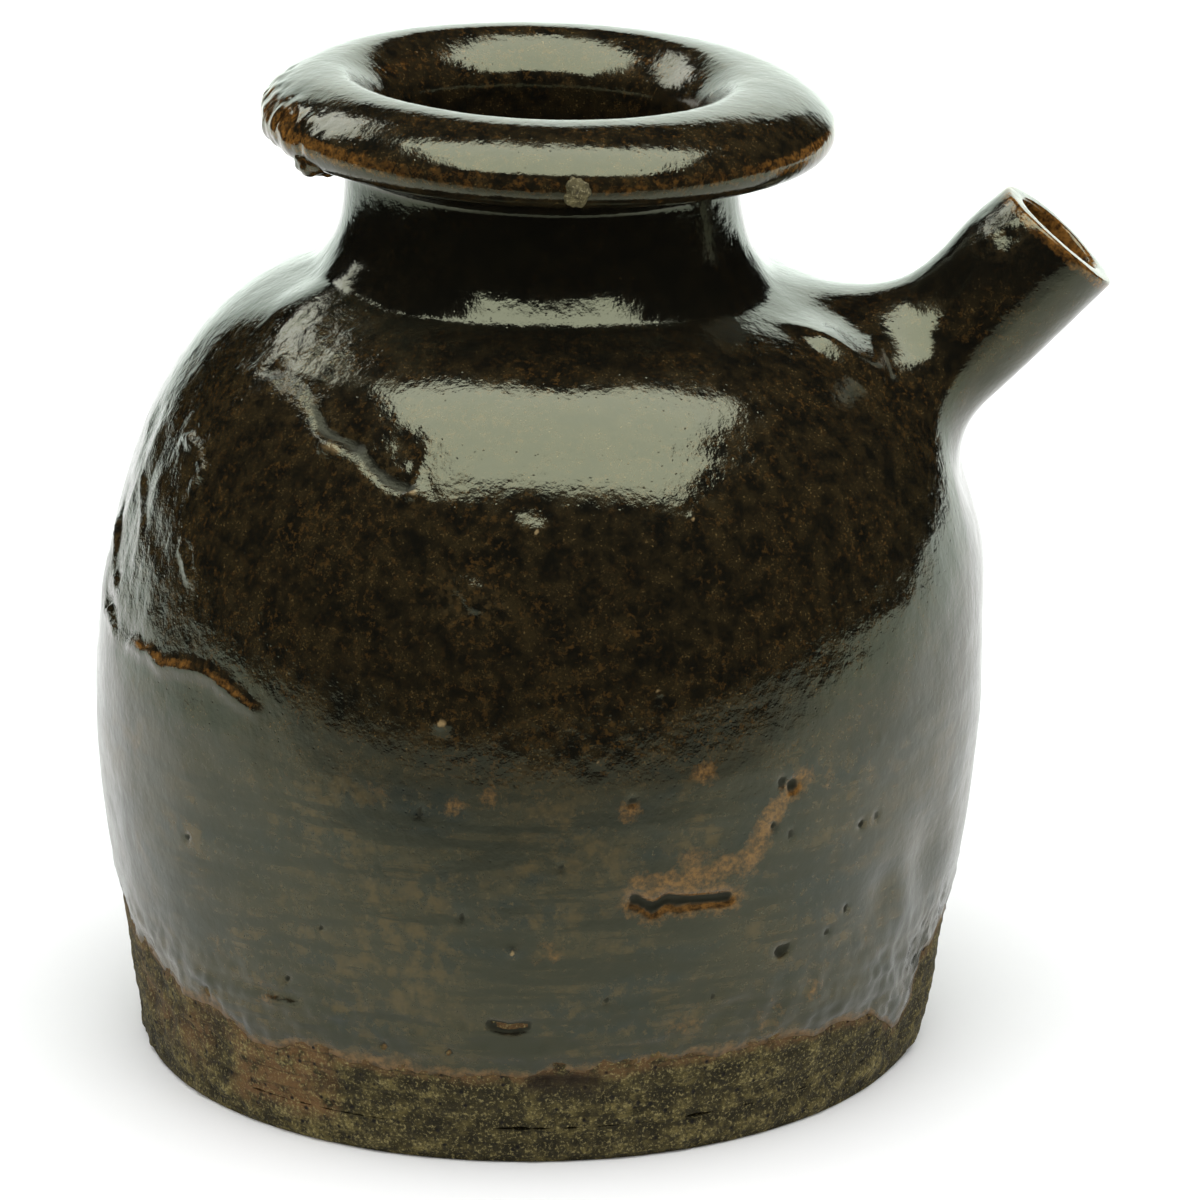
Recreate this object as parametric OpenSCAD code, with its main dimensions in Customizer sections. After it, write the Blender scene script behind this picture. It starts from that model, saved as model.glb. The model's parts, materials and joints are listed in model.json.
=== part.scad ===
// Brown-glazed stoneware pouring pot: a broad flat-footed body, a short neck
// with a rolled mushroom lip, and one short tube spout luted to the shoulder.
// Millimetres, +Z up. The origin is the centre of the foot on the table, and
// the spout leans towards +X.

/* [Foot and wall] */
// Diameter of the bare foot on the table
foot_d = 103; // [100:0.5:106]
// Thickness of the floor slab
slab_t = 5; // [4:0.5:6.5]
// Diameter of the clay belly
belly_d = 115.4; // [112:0.2:118]
// Height of the widest part of the belly
belly_z = 52; // [48:1:56]
// Height of the seam between the lower wall and the dome
seam_z = 62; // [58:1:68]
// Thickness of the clay wall
wall_t = 4.5; // [3.5:0.25:5]

/* [Shoulder] */
// Diameter where the wall turns over into the shoulder
shoulder_d = 94; // [92:0.5:96]
// Height where the wall turns over into the shoulder
shoulder_z = 90.5; // [89:0.5:92]

/* [Neck and lip] */
// Diameter of the clay neck at its foot
neck_root_d = 54.6; // [53.6:0.2:56]
// Height of the neck's foot
neck_root_z = 105.5; // [104.5:0.5:106.5]
// Diameter of the clay neck under the lip
neck_d = 50; // [49:0.5:51]
// Height where the lip ring sits on the neck
lip_seat_z = 115.5; // [114.5:0.5:116.5]
// Diameter of the clay lip
lip_d = 72.8; // [70:0.2:75]
// Height of the lip's round edge
lip_edge_z = 121.9; // [121.3:0.1:122.5]

/* [Spout] */
// Distance of the spout's mouth from the pot's axis
spout_x = 67; // [65:0.2:69]
// Height of the middle of the spout's mouth
spout_z = 107.3; // [106:0.1:108.5]
// Angle of the spout above the table
spout_angle = 45; // [42:1:47]
// Outer diameter of the clay tube at its mouth
spout_d = 18; // [16.8:0.2:18.2]
// Outer diameter of the clay tube where it meets the dome
spout_root_d = 19; // [18.2:0.2:20]
// Diameter of the bare clay bore
spout_bore_d = 14.2; // [13:0.2:14.6]
// Diameter of the luting fillet where it meets the dome
luting_d = 32; // [30:0.5:34]

/* [Glaze] */
// Thickness of the glaze
glaze_t = 0.5; // [0.3:0.05:0.7]
// Height where the outer glaze stops above the bare foot
glaze_line_z = 10; // [8:0.5:14]

/* [Kiln marks] */
// Radius of the glaze drip hanging under the lip
drip_r = 3; // [2.4:0.2:3.6]
// Radius of the grit fused to the front of the lip
grit_r = 1.8; // [1.4:0.2:2.2]
// Way round from the spout to the drip
drip_angle = 210; // [150:5:240]
// Way round from the spout to the grit
grit_angle = 275; // [260:1:290]

/* [Hidden] */

$fn = 96;
foot_r = foot_d / 2;
belly_r = belly_d / 2;
shoulder_r = shoulder_d / 2;
neck_root_r = neck_root_d / 2;
neck_r = neck_d / 2;
lip_r = lip_d / 2;
spout_bore_r = spout_bore_d / 2;

// Bevel of the foot's edge and roundness of the floor's inner corner
foot_bevel = 0.8;
floor_round = 9;
// Roundness of the lip's edge, its domed top, its crest, funnel and throat
lip_round = 2.5;
dome_round = 11;
crest_round = 4;
funnel_round = 16;
throat_round = 4;
// Angles where one round of the lip runs into the next
under_angle = -80;
dome_angle = 38;
crest_angle = 92;
funnel_angle = 123;
throat_angle = 142;
// Height in the throat where the lining meets the outer glaze
lining_top_z = 115.5;
// Height where the dome's inside ends at the straight throat
throat_z = 103;
throat_corner = 1;
// Length of the straight part of the spout, from its mouth
spout_straight = 11;
// Depth below its mouth that the spout's solids are drawn before they are cut
spout_reach = 31;
bore_reach = 37;
spout_end_round = 0.8;
// How far in from the lip's edge the drip and the grit sit, and the grit's drop
drip_in = 3.6;
grit_in = 0.8;
grit_drop = 0.4;
// Size that is past every face of the pot
past = 200;
// Steps along one curve
curve_steps = 9;
arc_steps = 7;

// Way out from the middle of a round, at an angle
function out(angle) = [cos(angle), sin(angle)];

// Middles of the lip's rounds, each touching the one before
edge_middle = [lip_r - lip_round, lip_edge_z];
dome_middle = edge_middle + (lip_round - dome_round) * out(dome_angle);
crest_middle = dome_middle + (dome_round - crest_round) * out(crest_angle);
funnel_middle = crest_middle + (crest_round - funnel_round) * out(funnel_angle);
throat_middle = funnel_middle + (funnel_round - throat_round) * out(throat_angle);
throat_r = throat_middle[0] - throat_round;

// Points of a cubic curve from a to d, pulled towards b and c
function curve(a, b, c, d) = [
  for (i = [0:curve_steps])
    let (t = i / curve_steps, u = 1 - t)
      u ^ 3 * a + 3 * u ^ 2 * t * b + 3 * u * t ^ 2 * c + t ^ 3 * d
];

// Points of an arc, from one angle to another
function arc(centre, r, from, to) = [
  for (i = [0:arc_steps])
    let (a = from + (to - from) * i / arc_steps)
      centre + r * out(a)
];

// A list without its first point
function rest_of(line) = [for (i = [1:len(line) - 1]) line[i]];

// A list in the opposite order
function backwards(line) = [for (i = [len(line) - 1:-1:0]) line[i]];

// A line moved sideways, to the right of the way it runs
function grown(line, by) = [
  for (i = [0:len(line) - 1])
    let (
      back = line[max(i - 1, 0)],
      on = line[min(i + 1, len(line) - 1)],
      way = (on - back) / norm(on - back)
    )
      line[i] + by * [way[1], -way[0]]
];

// The points of a line that are above a height
function above(line, z) = [for (p = line) if (p[1] > z) p];

// Clay outline from the foot up to the belly
wall_line = curve(
  [foot_r, foot_bevel],
  [foot_r + 1.7, 13],
  [belly_r - 0.7, belly_z - 18],
  [belly_r, belly_z]
);

// Clay outline from the belly over the shoulder to the neck's foot
dome_line = concat(
  rest_of(curve(
    [belly_r, belly_z],
    [belly_r + 0.2, belly_z + 27],
    [shoulder_r + 1.6, shoulder_z - 1.9],
    [shoulder_r, shoulder_z]
  )),
  rest_of(curve(
    [shoulder_r, shoulder_z],
    [shoulder_r - 7.9, shoulder_z + 9.2],
    [neck_root_r + 3.5, neck_root_z - 4.7],
    [neck_root_r, neck_root_z]
  ))
);

// Clay outline up the neck to the seat of the lip
neck_line = rest_of(curve(
  [neck_root_r, neck_root_z],
  [neck_root_r - 1.3, neck_root_z + 1.8],
  [neck_r + 0.1, lip_seat_z - 5.5],
  [neck_r, lip_seat_z]
));

// Clay outline under the lip, round its edge, over the crest, into the throat
lip_line = concat(
  rest_of(curve(
    [neck_r, lip_seat_z],
    [neck_r, lip_seat_z + 1.6],
    [neck_r + 2.5, lip_seat_z + 2.6],
    edge_middle + lip_round * out(under_angle)
  )),
  rest_of(arc(edge_middle, lip_round, under_angle, dome_angle)),
  rest_of(arc(dome_middle, dome_round, dome_angle, crest_angle)),
  rest_of(arc(crest_middle, crest_round, crest_angle, funnel_angle)),
  rest_of(arc(funnel_middle, funnel_round, funnel_angle, throat_angle)),
  rest_of(arc(throat_middle, throat_round, throat_angle, 180)),
  [[throat_r, lining_top_z]]
);

outer_line = concat(wall_line, dome_line, neck_line, lip_line);

// Clay outline of the hollow: floor, rounded corner, wall, dome and throat
floor_corner_r = foot_r - wall_t;
hollow_line = concat(
  [[0, slab_t]],
  arc([floor_corner_r - floor_round, slab_t + floor_round], floor_round, -90, -10),
  above(grown(concat(wall_line, dome_line), -wall_t), slab_t + floor_round),
  [[throat_r, throat_z], [throat_r, throat_z + throat_corner], [throat_r, lining_top_z]]
);

// Outline of all the clay of the thrown body, on one side of its axis
clay_outline = concat(
  [[0, 0], [foot_r - foot_bevel, 0]],
  outer_line,
  rest_of(backwards(hollow_line))
);

// Clay outline of the spout and its luting, in the spout's own frame
luting_line = curve(
  [luting_d / 2, -spout_reach],
  [luting_d / 2 - 4.5, -spout_reach + 6],
  [spout_root_d / 2 - 0.2, -spout_straight - 8],
  [spout_root_d / 2 - 0.5, -spout_straight]
);
spout_line = concat(
  luting_line,
  arc([spout_d / 2 - spout_end_round, -spout_end_round], spout_end_round, 0, 90),
  [[spout_bore_r, 0]]
);

// Carry children from the spout's own frame, mouth at the origin, to its place
module at_spout() {
  translate([spout_x, 0, spout_z])
    rotate([0, 90 - spout_angle, 0])
      children();
}

// A ring of the body's clay between two heights
module clay_band(from, to) {
  rotate_extrude()
    intersection() {
      polygon(clay_outline);
      translate([0, from])
        square([past, to - from]);
    }
}

// The body filled solid out to its clay surface, or out to its glaze
module filled_body(by) {
  rotate_extrude()
    polygon(concat(
      [[0, 0]],
      grown(concat(wall_line, dome_line, neck_line), by),
      [[0, lip_seat_z]]
    ));
}

// The spout and its luting filled solid, out to their clay surface
module filled_spout() {
  at_spout()
    rotate_extrude()
      polygon(concat([[0, -spout_reach]], luting_line, [[spout_d / 2, 0], [0, 0]]));
}

// A round rod along the spout's axis, from inside the body to the mouth
module spout_rod(r) {
  at_spout()
    translate([0, 0, -bore_reach])
      cylinder(h = bore_reach + glaze_t, r = r);
}

// The lip and neck out to their glaze, filled, to cut what is fused on them
module filled_lip() {
  rotate_extrude()
    polygon(concat(
      [[0, neck_root_z]],
      grown(concat(neck_line, lip_line), glaze_t),
      [[0, lining_top_z]]
    ));
}

// Flat disc that closes the bottom
module base_slab() {
  color("#6f6745")
    clay_band(0, slab_t);
}

// Wall from the slab up to the seam, with the filled inner corner
module lower_wall() {
  color("#77704e")
    clay_band(slab_t, seam_z);
}

// Upper half of the body, with the hole that the spout opens into
module shoulder_dome() {
  color("#7d7553")
    difference() {
      clay_band(seam_z, neck_root_z);
      spout_rod(spout_bore_r);
    }
}

// Short collar between the dome and the lip
module neck_collar() {
  color("#75704f")
    clay_band(neck_root_z, lip_seat_z);
}

// Rolled mushroom lip
module lip_ring() {
  color("#7a7350")
    clay_band(lip_seat_z, past);
}

// Tube of the spout, its lower end cut to sit on the dome
module spout_tube() {
  color("#6f6846")
    difference() {
      at_spout()
        rotate_extrude()
          polygon([
            [spout_bore_r, -spout_reach],
            [spout_root_d / 2 - 0.5, -spout_reach],
            [spout_root_d / 2 - 0.5, -spout_straight],
            [spout_d / 2, -spout_end_round],
            [spout_d / 2 - spout_end_round, 0],
            [spout_bore_r, 0],
          ]);
      filled_body(0);
    }
}

// Fillet of soft clay pressed round the spout's root
module spout_luting() {
  color("#837a57")
    difference() {
      at_spout()
        rotate_extrude()
          polygon(concat([[spout_root_d / 2 - 0.5, -spout_reach]], luting_line));
      filled_body(0);
    }
}

// Outer glaze, from its lower edge over the lip into the throat, and the spout
module outer_glaze() {
  color("#2b1a0e") {
    difference() {
      rotate_extrude()
        intersection() {
          polygon(concat(outer_line, backwards(grown(outer_line, glaze_t))));
          translate([0, glaze_line_z])
            square([past, past]);
        }
      filled_spout();
    }
    difference() {
      at_spout()
        rotate_extrude()
          polygon(concat(spout_line, backwards(grown(spout_line, glaze_t))));
      filled_body(glaze_t);
    }
  }
}

// Thin glaze that seals the floor, the wall, the throat and the spout's bore
module inner_glaze() {
  lining = grown(hollow_line, -glaze_t);
  color("#4a2a12") {
    difference() {
      rotate_extrude()
        polygon(concat(hollow_line, backwards(lining), [[0, slab_t]]));
      spout_rod(spout_bore_r);
    }
    difference() {
      spout_rod(spout_bore_r);
      spout_rod(spout_bore_r - glaze_t);
      rotate_extrude()
        polygon(concat(lining, [[0, lining_top_z]]));
    }
  }
}

// Drop of run glaze under the lip's edge, on the side away from the spout
module lip_drip() {
  color("#3a2312")
    difference() {
      rotate([0, 0, drip_angle])
        translate([lip_r - drip_in, 0, lip_edge_z - lip_round])
          sphere(r = drip_r);
      filled_lip();
    }
}

// Crumb of kiln grit fused to the front of the lip
module lip_grit() {
  color("#8c8460")
    difference() {
      rotate([0, 0, grit_angle])
        translate([lip_r - grit_in, 0, lip_edge_z - grit_drop])
          sphere(r = grit_r);
      filled_lip();
    }
}

base_slab();
lower_wall();
shoulder_dome();
neck_collar();
lip_ring();
spout_tube();
spout_luting();
outer_glaze();
inner_glaze();
lip_drip();
lip_grit();
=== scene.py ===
"""Look of the spouted stoneware pot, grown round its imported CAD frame.

Every layer is first worked out in millimetres as a true pot on its axis. The layers
then go through the same slump(), so that clay and glaze stay together, and the
outer skin gets its marks last, along its own normals.
Azimuth is in degrees: 0 faces the camera, and +90 is the spout's side.
"""

import json
import math

import bpy
import numpy as np
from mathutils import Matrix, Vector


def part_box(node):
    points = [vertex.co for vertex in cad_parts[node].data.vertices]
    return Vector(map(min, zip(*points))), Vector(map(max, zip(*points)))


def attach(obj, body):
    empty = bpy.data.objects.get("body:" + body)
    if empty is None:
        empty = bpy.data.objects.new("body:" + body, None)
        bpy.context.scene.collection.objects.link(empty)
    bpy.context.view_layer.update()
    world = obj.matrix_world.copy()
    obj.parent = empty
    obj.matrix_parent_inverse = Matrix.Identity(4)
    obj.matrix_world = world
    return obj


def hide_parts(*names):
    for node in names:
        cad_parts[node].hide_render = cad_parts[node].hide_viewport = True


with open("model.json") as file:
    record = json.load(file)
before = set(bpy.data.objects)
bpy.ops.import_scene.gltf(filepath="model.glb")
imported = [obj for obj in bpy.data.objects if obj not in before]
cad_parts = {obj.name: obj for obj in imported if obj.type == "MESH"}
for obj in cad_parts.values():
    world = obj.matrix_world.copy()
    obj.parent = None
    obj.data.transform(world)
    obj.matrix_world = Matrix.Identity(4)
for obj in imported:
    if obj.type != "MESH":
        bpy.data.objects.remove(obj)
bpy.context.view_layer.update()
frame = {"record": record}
MM = 0.001
SEED = 1207


def box_mm(node):
    """Lowest and highest corner of a CAD node, in millimetres."""
    low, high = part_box(node)
    return np.array(low) / MM, np.array(high) / MM


def mount(name):
    """Place, axis and radius of one of the record's mounts, in millimetres."""
    found = next(m for m in frame["record"]["mounts"] if m["name"] == name)
    place = np.array(found["pos_m"]) / MM
    return place, np.array(found["axis"], float), found["dims"].get("r_mm")


# Sizes of the packed clay, read from the frame
SLAB_T = box_mm("base_slab")[1][2]
BELLY_R, SEAM_Z = box_mm("lower_wall")[1][[0, 2]]
NECK_ROOT_R, SEAT_Z = box_mm("neck_collar")[1][[0, 2]]
NECK_ROOT_Z = box_mm("neck_collar")[0][2]
LIP_R, CREST_Z = box_mm("lip_ring")[1][[0, 2]]
GLAZE_T = box_mm("outer_glaze")[1][2] - CREST_Z
THROAT_R = mount("mouth")[2] + GLAZE_T
SPOUT_MID, SPOUT_AXIS, BORE_R = mount("spout_mouth")
SPOUT_AXIS = SPOUT_AXIS / np.linalg.norm(SPOUT_AXIS)

# Sizes the boxes don't tell
FOOT_R = 51.5
FOOT_BEVEL = 0.8
BELLY_Z = 52.0
SHOULDER_R = 47.0
SHOULDER_Z = 90.5
NECK_R = 25.0
LIP_EDGE_Z = 121.9
# Rounds of the lip, from its edge into the throat, and the angles between them
LIP_ROUNDS = (2.5, 11.0, 4.0, 16.0, 4.0)
LIP_ANGLES = (-80, 38, 92, 123, 142, 180)
WALL_T = 4.5
# Round between the inside of the wall and the floor
FLOOR_ROUND = 9
LINING_TOP_Z = 115.5
SPOUT_MOUTH = SPOUT_MID + SPOUT_AXIS * 10.0
SPOUT_R = 9.0
SPOUT_SKIN_R = SPOUT_R + GLAZE_T
SPOUT_STRAIGHT = 12.0
# Round of the glaze at the spout's mouth
MOUTH_ROUND = 0.5
# Softness of the joint under the spout and over it, and how far the front pinches it
SPOUT_BLEND = (6.5, 15.0)
SPOUT_PINCH = 0.45
# Half the width of the hole in the body's skin that the spout's skin grows from
HOLE_HALF = 12.0
SPOUT_UP = np.array([-SPOUT_AXIS[2], 0.0, SPOUT_AXIS[0]])
SPOUT_SIDE = np.array([0.0, 1.0, 0.0])

# Columns round the outer skin, the bare clay and the hidden clay
SKIN_COLUMNS = 560
CLAY_COLUMNS = 440
CORE_COLUMNS = 120


# ---- Small tools


def ramp(x, low, high):
    """0 below low, 1 above high, smooth between."""
    t = np.clip((np.asarray(x, float) - low) / (high - low), 0, 1)
    return t * t * (3 - 2 * t)


def plateau(x, start, full, fading, end):
    """0 before start, 1 from full to fading, 0 again past end."""
    return ramp(x, start, full) * (1 - ramp(x, fading, end))


def norms(v):
    """Length of each vector."""
    return np.linalg.norm(v, axis=-1)


def hill(distance, width):
    """1 at no distance, falling off smoothly over about one width."""
    return np.exp(-((distance / width) ** 2))


def noise(p, size, seed):
    """Smooth random values from -1 to 1 at points p, in lumps of one size."""
    q = np.asarray(p, float) / size
    cell = np.floor(q).astype(np.int64)
    t = q - cell
    t = t * t * (3 - 2 * t)
    total = np.zeros(len(q))
    for corner in np.ndindex(2, 2, 2):
        c = cell + corner
        mixed = c[:, 0] * 73856093 ^ c[:, 1] * 19349663 ^ c[:, 2] * 83492791
        mixed = (mixed ^ (seed + SEED) * 2654435761) & 0xFFFFFFFF
        mixed = ((mixed ^ (mixed >> 15)) * 2246822519) & 0xFFFFFFFF
        mixed = ((mixed ^ (mixed >> 13)) * 3266489917) & 0xFFFFFFFF
        value = ((mixed ^ (mixed >> 16)) & 0xFFFF) / 32767.5 - 1
        weight = np.where(np.array(corner, bool), t, 1 - t).prod(1)
        total += weight * value
    return total


def strongest(*masks):
    """The highest of several masks at each point."""
    return np.maximum.reduce(masks)


def curve(a, b, c, d):
    """Points of a cubic curve from a to d, pulled towards b and c."""
    t = np.linspace(0, 1, 41)[:, None]
    u = 1 - t
    a, b, c, d = (np.array(p, float) for p in (a, b, c, d))
    return u**3 * a + 3 * u**2 * t * b + 3 * u * t**2 * c + t**3 * d


def arc(centre, r, start, end, steps=24):
    """Points of an arc, from one angle to another, in degrees."""
    a = np.radians(np.linspace(start, end, steps + 1))
    return np.array(centre) + r * np.stack([np.cos(a), np.sin(a)], 1)


def joined(*lines):
    """Lines run together, without their doubled points."""
    line = np.vstack(lines)
    keep = np.ones(len(line), bool)
    keep[1:] = norms(np.diff(line, axis=0)) > 1e-6
    return line[keep]


def grown(line, by):
    """A line moved sideways, to the right of the way it runs."""
    way = np.gradient(line, axis=0)
    way /= norms(way)[:, None]
    return line + by * np.stack([way[:, 1], -way[:, 0]], 1)


def lengths(line):
    """Distance along a line at each of its points."""
    steps = norms(np.diff(line, axis=0))
    return np.concatenate([[0], np.cumsum(steps)])


def on_line(line, s):
    """Points at distances s along a line."""
    at = lengths(line)
    return np.stack([np.interp(s, at, line[:, k]) for k in range(line.shape[1])], -1)


def around(r, z, azimuth):
    """Points at a radius, height and azimuth."""
    a = np.radians(azimuth)
    r, z, a = np.broadcast_arrays(r, z, a)
    return np.stack([r * np.sin(a), -r * np.cos(a), z], -1)


def azimuth_of(p):
    return np.degrees(np.arctan2(p[:, 0], -p[:, 1]))


def radius_of(p):
    return np.hypot(p[:, 0], p[:, 1])


def even_turn(count, start=0):
    """Angles of one full turn in even steps, in degrees."""
    return np.linspace(start, start + 360, count + 1)[:-1]


# ---- Outlines


def lip_rounds():
    """Arcs of the lip, each touching the one before, from its edge into the throat."""
    middle = np.array([LIP_R - LIP_ROUNDS[0], LIP_EDGE_Z])
    arcs = []
    for k, r in enumerate(LIP_ROUNDS):
        if k:
            a = math.radians(LIP_ANGLES[k])
            middle = middle + (LIP_ROUNDS[k - 1] - r) * np.array([math.cos(a), math.sin(a)])
        arcs.append(arc(middle, r, LIP_ANGLES[k], LIP_ANGLES[k + 1]))
    return arcs


def clay_outline():
    """The clay's outline from the foot to the throat, as (radius, height)."""
    rounds = lip_rounds()
    foot = np.array([FOOT_R, FOOT_BEVEL])
    belly = np.array([BELLY_R, BELLY_Z])
    shoulder = np.array([SHOULDER_R, SHOULDER_Z])
    neck = np.array([NECK_ROOT_R, NECK_ROOT_Z])
    seat = np.array([NECK_R, SEAT_Z])
    return joined(
        [[FOOT_R - FOOT_BEVEL, 0]],
        curve(foot, [FOOT_R + 1.7, 13], belly - [0.7, 18], belly),
        curve(belly, belly + [0.2, 27], shoulder + [1.3, -1.85], shoulder),
        curve(shoulder, shoulder + [-7.2, 9.6], neck + [5, -4.9], neck + [2.4, -2.8]),
        curve(neck + [2.4, -2.8], neck + [1.75, -2.25], neck + [0.95, -1.1], neck + [0.4, -0.25]),
        curve(neck + [0.4, -0.25], neck + [-0.9, 1.6], seat + [0.1, -6], seat),
        curve(seat, seat + [0, 1.6], seat + [2.5, 2.6], rounds[0][0]),
        *rounds,
        [[THROAT_R, LINING_TOP_Z]],
    )


def below(line, z):
    """How many of a line's first points stand below a height."""
    return int(np.argmax(line[:, 1] > z))


CLAY = clay_outline()
GLAZE = grown(CLAY, GLAZE_T)
SIDE = GLAZE[: below(GLAZE, SEAT_Z)]


def on_body(azimuth, z):
    """The point of the true pot's glaze at an azimuth and height."""
    return around(np.interp(z, SIDE[:, 1], SIDE[:, 0]), z, azimuth)


def spot(p, azimuth, z, width):
    """1 at a place on the body, falling off over a width in millimetres."""
    return hill(norms(p - on_body(azimuth, z)), width)


def spots(p, places, strength=1.0, spread=1.0):
    """The highest of several spots, each given as azimuth, height and width."""
    return strength * strongest(*(spot(p, a, z, width * spread) for a, z, width in places))


# ---- Slump

# How far the body's middle stands off its axis, towards the spout, by height
LEAN = [(0, -1.2), (40, -0.6), (60, 0.3), (75, 1.0), (100, 0.3), (110, 1.0), (123, 1.7)]
# Azimuth, height and width of the dent on the left, and its depth
DENT = (-75, 84, 25)
DENT_DEEP = 2.3
# Slope of the rim, and how far the mouth and the neck's root are out of place
RIM_TILT = 0.033
MOUTH_SHIFT = 1.0
NECK_SINK = 0.75


def slump(p):
    """Carry points of the true pot to the pot as it came out of the kiln."""
    p = np.array(p, float)
    shifts = [np.interp(p[:, 2] + k, *np.transpose(LEAN)) for k in np.linspace(-9, 9, 7)]
    off_spout = 1 - ramp(p[:, 0], 46, 58)
    azimuth = np.radians(azimuth_of(p))
    raised = ramp(p[:, 2], 4, 40)
    oval = 0.25 * np.sin(2 * azimuth + 1.1) + 0.16 * np.sin(3 * azimuth + 0.4)
    dent = DENT_DEEP * spot(p, *DENT)
    r = np.maximum(radius_of(p), 1)
    push = (oval * raised * off_spout - dent) / r * ramp(r, 8, 20)
    out = p.copy()
    out[:, :2] += p[:, :2] * push[:, None]
    out[:, 0] += np.mean(shifts, axis=0) * off_spout
    high = ramp(p[:, 2], 104, 120)
    sunk = plateau(p[:, 2], 80, 104, 106, 115)
    out[:, 2] -= NECK_SINK * (1 + np.sin(azimuth)) * sunk * off_spout
    out[:, 1] += 0.5 * high
    out[:, 2] -= RIM_TILT * p[:, 0] * high
    out[:, 0] -= MOUTH_SHIFT * high * (1 - ramp(r, 23, 33))
    return out


# ---- Kiln marks


def near_path(p, path):
    """Distance to a path over the body, share along it, and side (+ is upwards)."""
    posts = on_body(*np.transpose(path))
    best = np.full(len(p), 1e9)
    share, side = np.zeros((2, len(p)))
    for k, (a, b) in enumerate(zip(posts[:-1], posts[1:])):
        way = b - a
        t = np.clip((p - a) @ way / (way @ way), 0, 1)
        off = p - a - t[:, None] * way
        d = norms(off)
        closer = d < best
        best = np.where(closer, d, best)
        share = np.where(closer, (k + t) / (len(posts) - 1), share)
        across = np.cross(a * [1, 1, 0.2], way)
        side = np.where(closer, np.sign(off @ across), side)
    return best, share, side


def trace(p, path, width):
    """1 on a path over the body, falling off over a width in millimetres."""
    return hill(near_path(p, path)[0], width)


# Paths of the marks over the body, as azimuth and height
CREASE = [
    (-52, 95), (-44, 94.6), (-38.2, 92.8), (-33.5, 90.8),
    (-29, 90.1), (-25, 88.7), (-22, 87.3), (-19, 87),
]
SMEAR = [(60, 101.5), (60.5, 98.5), (62, 96), (64.5, 93.5), (68, 91)]
# Torn lines on the left flank, each with its width
SCARS = [
    ([(-70, 87), (-65, 85.5), (-61, 86.5), (-58, 83), (-60, 80)], 0.9),
    ([(-80, 80), (-74, 76), (-69, 71), (-70, 67)], 0.9),
    ([(-57, 75), (-54.5, 73), (-52, 71)], 0.7),
    ([(-88, 72), (-80, 67), (-75, 64)], 0.9),
    ([(-82, 62), (-72, 59.5), (-64, 60.5)], 0.8),
]
LEFT_RIM = [(-66, 60), (-60, 60.6), (-56, 60), (-50, 61.2), (-45, 61.2), (-41, 59.8), (-38, 58.8)]
LONG_PIT = [(12.5, 36.8), (15, 35.3), (17, 36.4), (20, 35.8), (25, 35.6)]
STREAK = [(34, 50), (32, 48.4), (29, 45), (28, 41), (22, 39.4), (15, 38.8)]
SLIT = [(-5.5, 19.9), (-3, 19.4), (-0.8, 19.7)]
GOUGE = [(0.5, 11.2), (4, 11.6), (8.5, 11.1)]
# Azimuth, height and size of the pits, and of the specks of grit
PITS = [
    (32.6, 49.4, 1.1), (31, 50.2, 0.8), (30.3, 44.6, 0.6), (33, 42.8, 0.6), (11.4, 50.3, 0.6),
    (33.4, 26.5, 1.0), (34.4, 26.9, 0.7), (-14.4, 48.7, 0.6), (-9, 34.8, 0.6), (9.4, 23, 0.5),
    (-20.2, 15.4, 0.8), (-11.1, 15.5, 0.7), (-49.7, 16.8, 0.9), (-34, 22.7, 0.6), (-50, 38.3, 0.6),
    (45, 41.2, 0.7), (48, 41.5, 0.6), (44, 29.9, 0.6), (41, 27.5, 0.6), (-28, 31, 0.5),
    (3, 42, 0.5), (24, 22, 0.5),
]
GRITS = [
    (-12, 60.3, 0.75), (20, 83.7, 0.4), (14, 64.1, 0.4), (7, 55.8, 0.35), (47, 52, 0.4),
    (-2.7, 30.2, 0.5), (-1.0, 83.2, 0.4),
]
CREASE_BEAD = (-18.2, 86.8)
# Small rough places on the front: azimuth, height, width
SPARKLES = [(-11, 75.5, 3.2), (-1.7, 84.3, 2.0), (-7, 74.8, 2.2)]
# Faint brown smudges low on the body: azimuth, height, width
SMUDGES = [
    (20, 18.5, 5), (33, 17.5, 5), (40, 20, 4), (-38, 20, 4), (-46, 24, 3),
    (-20, 50.5, 3), (-6, 51, 3), (38, 49, 3), (2, 30, 4), (-62, 47, 3),
]
# Rust-coloured places, stronger than the smudges
RUSTS = [(20, 53, 3), (11, 49, 2.5), (-10, 49.5, 2.2), (13, 39, 3), (20, 41, 4), (27, 40, 3.5)]
# Soft hollows and swellings: azimuth, height, width, how high
SWELLS = [
    (63, 31, 6, -0.9), (52, 30.8, 3.5, -0.45), (58, 26, 4, 0.45), (-61, 102, 8, 1.9),
    (77, 90, 7, 1.2), (-10, 76.5, 6, -0.35), (86, 76.5, 7, -0.8), (90, 66, 6, 0.45),
    (88, 54, 7, -0.5), (-84, 64, 4, 0.5), (-88, 57, 3, -0.5), (-80, 20, 5, -0.4),
]


def crease_off(p):
    """Wandering distance from the fold (+ is upwards), plain distance, share along."""
    d, share, side = near_path(p, CREASE)
    return d * side + 0.9 * noise(p, 3.4, 11) + 0.4 * noise(p, 1.6, 13), d, share


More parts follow.
